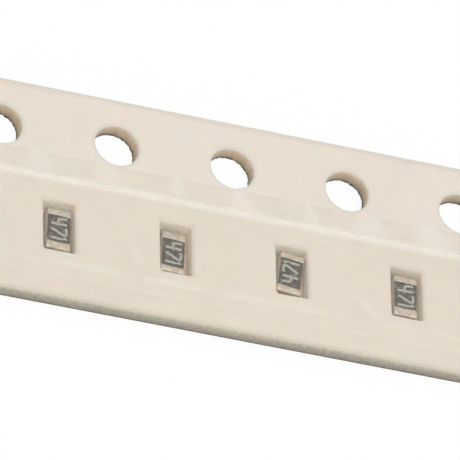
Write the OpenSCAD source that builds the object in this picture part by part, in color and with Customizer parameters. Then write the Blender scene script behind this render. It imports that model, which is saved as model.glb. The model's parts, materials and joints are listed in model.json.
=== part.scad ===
// A cut strip of punched card carrier tape with a chip resistor in every pocket.
// The strip lies flat: X runs along the tape, Y across it towards the sprocket holes, Z up.
// The origin is at the middle of the strip, on the surface that it lies on.

/* [Carrier tape] */
// Number of pockets, each with a chip
pocket_count = 10; // [2:1:11]
// Width of the card
tape_w = 8; // [7.8:0.1:9]
// Distance between neighbouring sprocket holes, and between neighbouring pockets
hole_pitch = 4; // [3:0.1:6]
// Diameter of a sprocket hole
hole_d = 1.5; // [1.2:0.05:1.7]
// Distance from the card's sprocket edge to the line of holes
hole_inset = 1.75; // [1.4:0.05:2]
// Distance from the line of holes to the line of pockets
pocket_drop = 3.5; // [3.3:0.05:3.8]
// Radius of a pocket's corners
pocket_r = 0.08; // [0.03:0.01:0.15]
// Card left past the last sprocket hole at each end
end_card = 0.35; // [0.2:0.05:1.2]
// Rounding along the card's long upper edges, from slitting
edge_r = 0.08; // [0.03:0.01:0.15]
// Height and width of the rim that the punch rolls over at a sprocket hole
rim = 0.04; // [0.01:0.01:0.08]

/* [Room round a chip] */
// Gap between a centred chip and the pocket's side walls
side_room = 0.15; // [0.08:0.01:0.2]
// Gap between a centred chip and the pocket's end walls
end_room = 0.15; // [0.08:0.005:0.2]
// Gap between a chip's top and the cover film
head_room = 0.1; // [0.05:0.01:0.2]

/* [Cover films] */
// Thickness of the clear cover film
cover_t = 0.05; // [0.04:0.005:0.08]
// Thickness of the film that closes the pockets from below
bottom_t = 0.05; // [0.04:0.005:0.1]
// Card left bare between the films and the sprocket holes
film_hole_gap = 0.075; // [0.03:0.005:0.15]
// Card left bare between the films and the plain edge
film_edge_gap = 0.075; // [0.03:0.005:0.15]
// Width of the heat-sealed margin along each side of the cover film
seal_w = 0.7; // [0.3:0.05:0.9]
// Depth to which the sealing shoe presses a margin into the card
seal_depth = 0.02; // [0.005:0.005:0.03]

/* [Chip] */
// Length of a chip, across the tape
chip_l = 1.55; // [1.4:0.05:1.8]
// Width of a chip, along the tape
chip_w = 0.8; // [0.6:0.05:1]
// Thickness of a chip
chip_t = 0.45; // [0.35:0.01:0.6]
// Length of a terminal on the chip's top
cap_l = 0.275; // [0.2:0.005:0.4]
// Length of a terminal on the chip's underside
foot_l = 0.3; // [0.2:0.01:0.5]
// Thickness of a terminal's plated wall
plate_t = 0.025; // [0.02:0.001:0.04]
// Radius of a terminal's outer corners
cap_r = 0.08; // [0.03:0.005:0.1]
// Distance that a terminal's sides stand out past the ceramic
side_step = 0.015; // [0.005:0.001:0.03]

/* [Resistor layers] */
// Thickness of the resistive film
resist_t = 0.01; // [0.006:0.001:0.015]
// Width of the resistive film
resist_w = 0.5; // [0.35:0.01:0.55]
// Width of the laser's trimming cut
kerf = 0.03; // [0.02:0.005:0.05]
// Distance that the trimming cut runs in from the film's side
trim_in = 0.26; // [0.1:0.01:0.3]
// Distance that the trimming cut then runs along the film
trim_along = 0.3; // [0.1:0.01:0.35]
// Thickness of the overcoat
over_t = 0.022; // [0.018:0.001:0.024]
// Ceramic left bare beside the overcoat
over_margin = 0.02; // [0.01:0.005:0.05]
// Width of the overcoat's sloping shoulders
shoulder = 0.05; // [0.02:0.005:0.08]

/* [Hidden] */
$fn = 96;
// Amount by which a cutting tool reaches past the face that it cuts
over = 0.01;
// Least thickness of the plating over the ceramic's corners
corner_plate_t = 0.0018;

card_t = chip_t + head_room;
pocket_w = chip_w + 2 * side_room;
pocket_l = chip_l + 2 * end_room;
tape_l = hole_pitch * pocket_count + hole_d + 2 * end_card;
card_top = bottom_t + card_t;

hole_line = tape_w / 2 - hole_inset;
pocket_line = hole_line - pocket_drop;
film_low = -tape_w / 2 + film_edge_gap;
film_high = hole_line - hole_d / 2 - film_hole_gap;
film_w = film_high - film_low;

ceramic_l = chip_l - 2 * plate_t;
ceramic_w = chip_w - 2 * side_step;
ceramic_t = chip_t - 2 * plate_t;
over_l = chip_l - 2 * cap_l;
over_w = ceramic_w - 2 * over_margin;
// How far the ceramic's edges are broken for the plating to cover them in the terminals' round corners
edge_break = max(0, 2 * (cap_r - plate_t) - sqrt(2) * (cap_r - corner_plate_t));
// Height of the ceramic's top face above the chip's underside
ceramic_top = chip_t - plate_t;

// The largest angle by which a chip can turn before its corners meet the pocket's walls
chip_diagonal = norm([chip_w, chip_l]);
corner_angle = atan(chip_w / chip_l);
turn_to_sides = asin(min(1, pocket_w / chip_diagonal)) - corner_angle;
turn_to_ends = pocket_l < chip_diagonal ? corner_angle - acos(pocket_l / chip_diagonal) : turn_to_sides;
free_turn = min(turn_to_sides, turn_to_ends);

// How each chip lies in its pocket, as shares of the room that it has: along the tape, across it,
// its turn, and whether it went in the other way round
SEATS = [
    [0.4, -0.3, 0.15, 0],
    [-0.5, 0.2, -0.3, 0],
    [0.2, -0.8, 0.4, 180],
    [0, -0.65, -0.2, 0],
    [-0.8, -0.97, -0.32, 0],
    [-0.45, -0.45, -0.6, 180],
    [-0.2, -0.6, -0.1, 0],
    [0.5, 0.6, 0.25, 180],
    [-0.1, -0.6, -0.15, 0],
    [0.7, 0.1, 0.55, 0],
    [0.3, -0.4, 0.1, 180],
];

// The pieces of one chip, in the order in which they are laid down
CHIP_PIECES = ["substrate", "resistive_film", "overcoat", "left_terminal", "right_terminal"];

function two_digits(n) = n < 10 ? str("0", n) : str(n);
function chip_name(i, piece) = str("chip_", two_digits(i + 1), "_", piece);
function pocket_x(i) = (i - (pocket_count - 1) / 2) * hole_pitch;
function hole_x(i) = (i - pocket_count / 2) * hole_pitch;

// Half of what is left of a pocket once a chip stands in it at the angle a
function room_along(a) = (pocket_w - chip_w * cos(a) - chip_l * sin(abs(a))) / 2;
function room_across(a) = (pocket_l - chip_l * cos(a) - chip_w * sin(abs(a))) / 2;

// Turns an outline drawn in Y and Z into a bar of length l, centred along X
module bar(l) {
    rotate([90, 0, 90]) linear_extrude(l, center = true) children();
}

// A centred rectangle with round corners, w along X and l along Y
module round_rectangle(w, l, r) {
    square([w - 2 * r, l], center = true);
    square([w, l - 2 * r], center = true);
    for (x = [-1, 1], y = [-1, 1])
        translate([x * (w / 2 - r), y * (l / 2 - r)]) circle(r);
}

// The cover film's two sealed margins in cross-section, from the height z0 up to z1
module margin_sections(z0, z1) {
    for (y = [film_low, film_high - seal_w]) translate([y, z0]) square([seal_w, z1 - z0]);
}

// The slit card's cross-section, with its two upper edges rounded and the sealed margins pressed in
module card_section() {
    difference() {
        union() {
            translate([-tape_w / 2, bottom_t]) square([tape_w, card_t - edge_r]);
            translate([-tape_w / 2 + edge_r, bottom_t]) square([tape_w - 2 * edge_r, card_t]);
            for (side = [-1, 1])
                translate([side * (tape_w / 2 - edge_r), card_top - edge_r]) circle(edge_r);
        }
        margin_sections(card_top - seal_depth, card_top + over);
    }
}

// The cover film's cross-section: flat, with both margins pressed down into the card
module cover_section() {
    difference() {
        union() {
            translate([film_low, card_top]) square([film_w, cover_t]);
            margin_sections(card_top - seal_depth, card_top + cover_t / 2);
        }
        margin_sections(card_top + cover_t - seal_depth, card_top + cover_t + over);
    }
}

// One punched sprocket hole with its rolled rim on the upper face
module sprocket_punch() {
    translate([0, 0, bottom_t - over]) cylinder(h = card_t + 2 * over, d = hole_d);
    translate([0, 0, card_top - rim])
        cylinder(h = rim + over, d1 = hole_d, d2 = hole_d + 2 * (rim + over));
}

module pocket_punch() {
    translate([0, 0, bottom_t - over])
        linear_extrude(card_t + 2 * over) round_rectangle(pocket_w, pocket_l, pocket_r);
}

module carrier_tape() {
    color("antiquewhite") difference() {
        bar(tape_l) card_section();
        for (i = [0:pocket_count]) translate([hole_x(i), hole_line, 0]) sprocket_punch();
        for (i = [0:pocket_count - 1]) translate([pocket_x(i), pocket_line, 0]) pocket_punch();
    }
}

module cover_film() {
    color("whitesmoke", 0.3) bar(tape_l) cover_section();
}

module bottom_film() {
    color("wheat") translate([-tape_l / 2, film_low, 0]) cube([tape_l, film_w, bottom_t]);
}

// Puts a chip's piece, drawn round the middle of the chip's underside, into pocket i
module seated(i) {
    seat = SEATS[i];
    a = seat[2] * free_turn;
    translate([pocket_x(i) + seat[0] * room_along(a), pocket_line + seat[1] * room_across(a), bottom_t])
        rotate([0, 0, a + seat[3]]) children();
}

// The corners that are broken off the ceramic, seen from the chip's side
module broken_corners() {
    for (y = [-1, 1], z = [0, 1]) translate([y * ceramic_l / 2, plate_t + z * ceramic_t])
        rotate(45) square(edge_break * sqrt(2), center = true);
}

module substrate() {
    color("white") difference() {
        translate([0, 0, plate_t + ceramic_t / 2]) cube([ceramic_w, ceramic_l, ceramic_t], center = true);
        if (edge_break > 0) bar(ceramic_w + 2 * over) broken_corners();
    }
}

// The L-shaped cut that trims the resistance, from the film's side
module trim_cut() {
    translate([-resist_w / 2 - over, -over_l / 4 - kerf / 2]) square([trim_in + over, kerf]);
    translate([-resist_w / 2 + trim_in - kerf, -over_l / 4 - kerf / 2]) square([kerf, trim_along]);
}

module resistive_film() {
    color("dimgray") translate([0, 0, ceramic_top]) linear_extrude(resist_t) difference() {
        square([resist_w, over_l], center = true);
        trim_cut();
    }
}

// The overcoat's outline across the chip, with sloping shoulders
module overcoat_section() {
    polygon([
        [-over_w / 2, 0], [over_w / 2, 0], [over_w / 2, over_t / 3],
        [over_w / 2 - shoulder, over_t], [-over_w / 2 + shoulder, over_t], [-over_w / 2, over_t / 3],
    ]);
}

// Protective glaze that covers the resistive film and fills its trimming cut
module overcoat() {
    color("darkslategray") difference() {
        translate([0, 0, ceramic_top]) rotate([90, 0, 0])
            linear_extrude(over_l, center = true) overcoat_section();
        resistive_film();
    }
}

// A terminal's outline seen from the chip's side: it wraps round the ceramic's end
module terminal_section() {
    reach = max(cap_l, foot_l);
    difference() {
        translate([chip_l / 2 - reach, 0]) union() {
            square([reach - cap_r, chip_t]);
            translate([0, cap_r]) square([reach, chip_t - 2 * cap_r]);
            for (z = [cap_r, chip_t - cap_r]) translate([reach - cap_r, z]) circle(cap_r);
        }
        difference() {
            translate([0, plate_t]) square([ceramic_l / 2, ceramic_t]);
            if (edge_break > 0) broken_corners();
        }
        translate([0, chip_t / 2]) square([chip_l / 2 - cap_l, chip_t]);
        translate([0, -chip_t / 2]) square([chip_l / 2 - foot_l, chip_t]);
    }
}

// The terminal on the left of someone who reads the chip, at its own +Y end
module left_terminal() {
    color("silver") bar(chip_w) terminal_section();
}

module right_terminal() {
    rotate([0, 0, 180]) left_terminal();
}

carrier_tape();
cover_film();
bottom_film();
for (i = [0:pocket_count - 1]) {
    seated(i) substrate();
    seated(i) resistive_film();
    seated(i) overcoat();
    seated(i) left_terminal();
    seated(i) right_terminal();
}
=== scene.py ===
"""Looks of a cut strip of punched card carrier tape with a chip resistor in every pocket.

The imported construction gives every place: the card's and films' boxes, the sprocket holes and where each chip
lies. Pieces are modelled in millimetres, and brought to metres as they are handed to the frame.
"""

import json
import logging
import math
import random
from collections.abc import Callable, Iterator
from contextlib import contextmanager
from dataclasses import dataclass, field, replace
from enum import Enum
from functools import cache

import bmesh
import bpy
from mathutils import Matrix, Vector


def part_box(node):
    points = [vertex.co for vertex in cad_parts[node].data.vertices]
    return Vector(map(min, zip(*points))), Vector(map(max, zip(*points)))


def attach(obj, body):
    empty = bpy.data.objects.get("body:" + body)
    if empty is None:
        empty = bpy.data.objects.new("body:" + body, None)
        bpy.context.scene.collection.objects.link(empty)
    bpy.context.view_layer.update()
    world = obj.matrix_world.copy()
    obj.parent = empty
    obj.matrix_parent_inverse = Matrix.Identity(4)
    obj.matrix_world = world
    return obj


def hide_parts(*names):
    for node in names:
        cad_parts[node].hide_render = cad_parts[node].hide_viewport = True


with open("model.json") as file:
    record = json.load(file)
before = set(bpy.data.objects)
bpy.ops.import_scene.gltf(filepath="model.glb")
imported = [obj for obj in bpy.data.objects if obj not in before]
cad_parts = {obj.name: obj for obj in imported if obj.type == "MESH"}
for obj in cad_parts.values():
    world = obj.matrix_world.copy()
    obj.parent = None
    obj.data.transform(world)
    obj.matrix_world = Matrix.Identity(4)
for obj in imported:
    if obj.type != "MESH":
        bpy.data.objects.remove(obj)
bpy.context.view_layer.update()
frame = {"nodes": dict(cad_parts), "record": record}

LOG = logging.getLogger("carrier_tape")
MM = 0.001
BODY = "root"
NEAR = 0.001  # how close two places count as the same, in millimetres
ALONG, ACROSS, UP = (Vector(axis) for axis in ((1, 0, 0), (0, 1, 0), (0, 0, 1)))

Colour = tuple[float, float, float]
Inputs = dict[str | int, object]
Socket = bpy.types.NodeSocket
Piece = bpy.types.Object


class Slot(Enum):
    """The record's material slots."""

    CARD = "punched_card"
    COVER = "clear_film"
    BASE = "base_film"
    ALUMINA = "alumina"
    RESISTOR = "resistor_ink"
    GLAZE = "overcoat_glaze"
    MARKING = "marking_ink"
    TIN = "matte_tin"


class Element(Enum):
    """What an edit-mode selection is made of."""

    CORNERS = "VERT"
    EDGES = "EDGE"
    FACES = "FACE"


# ---------------------------------------------------------------- the workbench


def deselect_all() -> None:
    """Leaves nothing selected."""
    bpy.ops.object.select_all(action="DESELECT")


def activate(piece: Piece) -> None:
    """Makes a piece the only selected one, and the active one."""
    deselect_all()
    piece.select_set(True)
    bpy.context.view_layer.objects.active = piece


@contextmanager
def editing(piece: Piece) -> Iterator[None]:
    """Edit mode on one piece, with all of it selected at the start.

    Args:
        piece: The mesh to shape.
    """
    activate(piece)
    bpy.ops.object.mode_set(mode="EDIT")
    bpy.ops.mesh.select_all(action="SELECT")
    yield
    bpy.ops.object.mode_set(mode="OBJECT")


def pick(piece: Piece, element: Element, test: Callable[[object], bool]) -> None:
    """Selects the corners, edges or faces that pass a test, and nothing else.

    Args:
        piece: The mesh, in edit mode.
        element: What is selected.
        test: Takes a corner, edge or face and says whether it is wanted.
    """
    bpy.ops.mesh.select_mode(type=element.value)
    bpy.ops.mesh.select_all(action="DESELECT")
    shape = bmesh.from_edit_mesh(piece.data)
    items = {Element.CORNERS: shape.verts, Element.EDGES: shape.edges, Element.FACES: shape.faces}[element]
    for item in [item for item in items if test(item)]:
        item.select_set(True)
    shape.select_flush_mode()
    bmesh.update_edit_mesh(piece.data)


def span_of(edge: bmesh.types.BMEdge) -> Vector:
    """How far an edge runs along each axis."""
    run = edge.verts[0].co - edge.verts[1].co
    return Vector((abs(run.x), abs(run.y), abs(run.z)))


def ease(radius: float, steps: int, **settings: object) -> None:
    """Rounds the selected edges of the mesh in edit mode."""
    bpy.ops.mesh.bevel(offset=radius, segments=steps, affect="EDGES", **settings)


def shift(x: float, y: float, z: float) -> None:
    """Moves what is selected in edit mode."""
    bpy.ops.transform.translate(value=(x, y, z))


def score(piece: Piece, places: list[float], normal: Vector) -> None:
    """Cuts edges into a mesh's faces along parallel planes.

    Args:
        piece: The mesh, in edit mode. It is not used.
        places: Where each plane stands along its normal, in millimetres.
        normal: The planes' normal.
    """
    for place in places:
        bpy.ops.mesh.select_all(action="SELECT")
        bpy.ops.mesh.bisect(plane_co=normal * place, plane_no=normal)


def apply_place(piece: Piece) -> Piece:
    """Moves a piece's place, turn and scale into its mesh."""
    activate(piece)
    bpy.ops.object.transform_apply(location=True, rotation=True, scale=True)
    return piece


def just_made(name: str, scale: Vector | tuple[float, float, float] = (1, 1, 1)) -> Piece:
    """Finishes the primitive that was just added.

    Args:
        name: The name that it gets.
        scale: Its size along each axis, where it was added with size 1.

    Returns:
        The piece, with its place and scale in its mesh.
    """
    piece = bpy.context.active_object
    piece.name = name
    piece.scale = scale
    return apply_place(piece)


def block(name: str, low: Vector, high: Vector) -> Piece:
    """A block between two corners, to be shaped further.

    Args:
        name: The piece's name.
        low: Its lowest corner, in millimetres.
        high: Its highest corner.

    Returns:
        The block.
    """
    deselect_all()
    bpy.ops.mesh.primitive_cube_add(size=1, location=(low + high) / 2)
    return just_made(name, high - low)


def drum(name: str, radius: float, foot: Vector, top: float, sides: int) -> Piece:
    """An upright drum, to be shaped further.

    Args:
        name: The piece's name.
        radius: Its radius, in millimetres.
        foot: The middle of its underside.
        top: The height of its top.
        sides: How many flat sides it has.

    Returns:
        The drum.
    """
    deselect_all()
    middle = (foot.x, foot.y, (foot.z + top) / 2)
    bpy.ops.mesh.primitive_cylinder_add(vertices=sides, radius=radius, depth=top - foot.z, location=middle)
    return just_made(name)


def modify(piece: Piece, kind: str, **settings: object) -> None:
    """Adds a modifier, sets it and applies it.

    Args:
        piece: The mesh that it works on.
        kind: The modifier's type.
        **settings: Its settings by name.
    """
    activate(piece)
    modifier = piece.modifiers.new(kind.title(), kind)
    for key, value in settings.items():
        setattr(modifier, key, value)
    bpy.ops.object.modifier_apply(modifier=modifier.name)


def join(pieces: list[Piece], name: str) -> Piece:
    """Joins several meshes into one.

    Args:
        pieces: The meshes.
        name: The joined piece's name.

    Returns:
        The joined piece.
    """
    activate(pieces[0])
    for piece in pieces[1:]:
        piece.select_set(True)
    bpy.ops.object.join()
    pieces[0].name = name
    return pieces[0]


def twin(piece: Piece, name: str, place: Vector, turn: float) -> Piece:
    """A copy with its own mesh, turned about the upright axis and set down.

    Args:
        piece: The piece that is copied, modelled round the origin.
        name: The copy's name.
        place: Where its origin goes, in millimetres.
        turn: Its turn, in radians.

    Returns:
        The copy.
    """
    copy = bpy.data.objects.new(name, piece.data.copy())
    bpy.context.scene.collection.objects.link(copy)
    copy.location = place
    copy.rotation_euler = (0, 0, turn)
    return apply_place(copy)


def drawn_line(strokes: list[list[Vector]], name: str, radius: float, sides: int) -> Piece:
    """Round strokes that follow lines of points, as one mesh.

    Args:
        strokes: Each stroke's points, in millimetres.
        name: The piece's name.
        radius: The strokes' radius.
        sides: A stroke's bevel resolution, 0 for a square one.

    Returns:
        The strokes as a mesh.
    """
    line = bpy.data.curves.new(name, "CURVE")
    line.dimensions = "3D"
    line.bevel_depth = radius
    line.bevel_resolution = sides
    line.use_fill_caps = True
    for stroke in strokes:
        spline = line.splines.new("POLY")
        spline.points.add(len(stroke) - 1)
        for point, place in zip(spline.points, stroke):
            point.co = (*place, 1)
    piece = bpy.data.objects.new(name, line)
    bpy.context.scene.collection.objects.link(piece)
    activate(piece)
    bpy.ops.object.convert(target="MESH")
    return bpy.context.active_object


def hump(place: float, middle: float, half: float) -> float:
    """The height at a place of a smooth hump: 1 at its middle, and 0 from half its width on."""
    away = abs(place - middle) / half
    return 0.0 if away >= 1 else 0.5 + 0.5 * math.cos(math.pi * away)


def cad_box(node: str) -> tuple[Vector, Vector]:
    """A CAD node's lowest and highest corner, in millimetres."""
    low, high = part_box(node)
    return low / MM, high / MM


@dataclass(frozen=True)
class Layout:
    """Where the tape is punched and sealed: its lines from the frame, and the sizes that its parts share."""

    holes: tuple[Vector, ...]
    hole_r: float
    film_low: float
    film_high: float
    half_width: float
    half_length: float
    pocket_w: float = 1.10
    pocket_l: float = 1.85
    seal_w: float = 0.7
    seal_depth: float = 0.02

    @classmethod
    def from_frame(cls) -> "Layout":
        """The holes from the record's bores, and the rest from the card's and the cover film's boxes."""
        bores = [m for m in frame["record"]["mounts"] if m["kind"] == "bore"]
        holes = sorted((Vector(m["pos_m"]) / MM for m in bores), key=lambda place: place.x)
        film_low, film_high = cad_box("cover_film")
        corner = cad_box("carrier_tape")[1]
        return cls(tuple(holes), bores[0]["dims"]["r_mm"], film_low.y, film_high.y, corner.y, corner.x)

    @property
    def pocket_y(self) -> float:
        """The line of the pockets' middles, under the cover film's middle."""
        return (self.film_low + self.film_high) / 2

    def pockets(self) -> list[Vector]:
        """The middle of each pocket, between two holes."""
        pairs = zip(self.holes, self.holes[1:])
        return [Vector(((a.x + b.x) / 2, self.pocket_y, a.z)) for a, b in pairs]


# ---------------------------------------------------------------- materials


class NodeSheet:
    """Lays out the nodes of a material or of a group."""

    def __init__(self, tree: bpy.types.NodeTree) -> None:
        """Starts on a tree of nodes."""
        self.tree = tree

    def add(self, kind: str, inputs: Inputs | None = None, **settings: object) -> bpy.types.Node:
        """Adds a node.

        Args:
            kind: The node's type without its ShaderNode prefix.
            inputs: What goes into its sockets, each a socket or a value.
            **settings: The node's own settings.

        Returns:
            The node.
        """
        node = self.tree.nodes.new("ShaderNode" + kind)
        for key, value in settings.items():
            setattr(node, key, value)
        for key, value in (inputs or {}).items():
            self.feed(node.inputs[key], value)
        return node

    def feed(self, target: Socket, value: object) -> None:
        """Links a socket to another, or sets it to a value."""
        if isinstance(value, Socket):
            self.tree.links.new(value, target)
        elif target.type == "RGBA" and len(value) == 3:
            target.default_value = (*value, 1)
        else:
            target.default_value = value

    def sum(self, operation: str, first: object, second: object = 0.0) -> Socket:
        """A Math node's result."""
        return self.add("Math", {0: first, 1: second}, operation=operation).outputs[0]

    def mix(self, share: object, first: object, second: object) -> Socket:
        """One colour mixed towards another."""
        return self.add("Mix", {0: share, 6: first, 7: second}, data_type="RGBA").outputs[2]

    def shade(self, colour: object, factor: object) -> Socket:
        """A colour made darker or lighter by a factor."""
        grey = self.add("CombineColor", {0: factor, 1: factor, 2: factor}).outputs[0]
        inputs = {0: 1.0, 6: colour, 7: grey}
        return self.add("Mix", inputs, data_type="RGBA", blend_type="MULTIPLY").outputs[2]

    def span(self, value: object, low: object, high: object, to_low: float = 0, to_high: float = 1) -> Socket:
        """A value's span, brought smoothly to another span."""
        inputs = {0: value, 1: low, 2: high, 3: to_low, 4: to_high}
        return self.add("MapRange", inputs, interpolation_type="SMOOTHSTEP").outputs[0]

    def noise(self, vector: Socket, scale: object, detail: float = 3.0, roughness: float = 0.5) -> Socket:
        """Noise between 0 and 1."""
        inputs = {"Vector": vector, "Scale": scale, "Detail": detail, "Roughness": roughness}
        return self.add("TexNoise", inputs).outputs[0]

    def millimetres(self) -> Socket:
        """The place on the piece, in millimetres."""
        place = self.add("TexCoord").outputs["Object"]
        return self.add("Mapping", {"Vector": place, "Scale": (1 / MM,) * 3}).outputs[0]

    def parts(self, vector: Socket) -> tuple[Socket, ...]:
        """A vector's X, Y and Z."""
        return tuple(self.add("SeparateXYZ", {0: vector}).outputs)

    def group(self, tree: bpy.types.NodeTree, **inputs: object) -> bpy.types.Node:
        """Places a group, with values for its inputs by name."""
        node = self.add("Group", node_tree=tree)
        for key, value in inputs.items():
            self.feed(node.inputs[key], value)
        return node


class NodeGroups:
    """The effects that more than one material uses, each built once."""

    @staticmethod
    def start(
        name: str, inputs: dict[str, str], outputs: list[str]
    ) -> tuple[NodeSheet, dict[str, Socket], bpy.types.Node]:
        """An empty group with its sockets.

        Args:
            name: The group's name.
            inputs: Each input's name and socket type.
            outputs: The names of its outputs, which are numbers.

        Returns:
            The sheet, the input sockets by name and the output node.
        """
        tree = bpy.data.node_groups.new(name, "ShaderNodeTree")
        for key, kind in inputs.items():
            tree.interface.new_socket(key, in_out="INPUT", socket_type="NodeSocket" + kind)
        for key in outputs:
            tree.interface.new_socket(key, in_out="OUTPUT", socket_type="NodeSocketFloat")
        entry, leave = tree.nodes.new("NodeGroupInput"), tree.nodes.new("NodeGroupOutput")
        return NodeSheet(tree), {key: entry.outputs[key] for key in inputs}, leave

    @staticmethod
    @cache
    def fibre_grain() -> bpy.types.NodeTree:
        """Short fibres that cross at a slant, as on uncoated card."""
        inputs = {"Vector": "Vector", "Density": "Float", "Length": "Float"}
        sheet, given, leave = NodeGroups.start("Fibre Grain", inputs, ["Fibres", "Height"])
        layers = []
        for turn in (-1.42, -1.05):
            longer = sheet.add("CombineXYZ", {0: 1.0, 1: given["Length"], 2: 1.0}).outputs[0]
            settings = {"Vector": given["Vector"], "Rotation": (0, 0, turn), "Scale": longer}
            laid = sheet.add("Mapping", settings, vector_type="TEXTURE").outputs[0]
            layers.append(sheet.span(sheet.noise(laid, given["Density"], 2.0), 0.45, 0.75))
        fibres = sheet.sum("MAXIMUM", layers[0], layers[1])
        fine = sheet.noise(given["Vector"], 26.0)
        height = sheet.sum("ADD", sheet.sum("MULTIPLY", fibres, 0.6), sheet.sum("MULTIPLY", fine, 0.4))
        sheet.feed(leave.inputs["Fibres"], fibres)
        sheet.feed(leave.inputs["Height"], height)
        return sheet.tree

    @staticmethod
    @cache
    def speckle() -> bpy.types.NodeTree:
        """Scattered specks, more of them as Share rises."""
        inputs = {"Vector": "Vector", "Density": "Float", "Share": "Float"}
        sheet, given, leave = NodeGroups.start("Speckle", inputs, ["Mask"])
        noise = sheet.noise(given["Vector"], given["Density"], 2.0, 0.7)
        edge = sheet.sum("SUBTRACT", 0.75, sheet.sum("MULTIPLY", given["Share"], 0.5))
        above = sheet.sum("SUBTRACT", noise, edge)
        sheet.feed(leave.inputs["Mask"], sheet.span(above, 0.0, 0.08))
        return sheet.tree

    @staticmethod
    @cache
    def band() -> bpy.types.NodeTree:
        """1 between two places along a line, fading at both ends."""
        inputs = dict.fromkeys(("Place", "Low", "High", "Fade"), "Float")
        sheet, given, leave = NodeGroups.start("Band", inputs, ["Mask"])
        steps = []
        for end in ("Low", "High"):
            low, high = (sheet.sum(way, given[end], given["Fade"]) for way in ("SUBTRACT", "ADD"))
            steps.append(sheet.span(given["Place"], low, high))
        sheet.feed(leave.inputs["Mask"], sheet.sum("SUBTRACT", *steps))
        return sheet.tree


@dataclass(frozen=True)
class Finish:
    """A finish that one material slot takes."""

    slot: Slot

    def material(self) -> bpy.types.Material:
        """The slot's material, built at its first use."""
        name = self.slot.value + "_finish"
        known = bpy.data.materials.get(name)
        if known is not None:
            return known
        material = bpy.data.materials.new(name)
        material.use_nodes = True
        self.lay_out(NodeSheet(material.node_tree), material.node_tree.nodes["Principled BSDF"])
        return material

    def lay_out(self, sheet: NodeSheet, shader: bpy.types.Node) -> None:
        """Feeds the shader of one material.

        Args:
            sheet: The material's nodes.
            shader: Its shader.
        """
        raise NotImplementedError


def dress(sheet: NodeSheet, shader: bpy.types.Node, **inputs: object) -> None:
    """Feeds a shader's inputs, named with underscores for their spaces."""
    for key, value in inputs.items():
        sheet.feed(shader.inputs[key.replace("_", " ")], value)


def bump(sheet: NodeSheet, shader: bpy.types.Node, height: Socket, depth: float) -> None:
    """Roughens a shader's surface.

    Args:
        sheet: The material's nodes.
        shader: Its shader.
        height: The relief, from 0 to 1.
        depth: How deep the relief is, in millimetres.
    """
    node = sheet.add("Bump", {"Height": height, "Distance": depth * MM, "Strength": 1.0})
    dress(sheet, shader, Normal=node.outputs[0])


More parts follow.
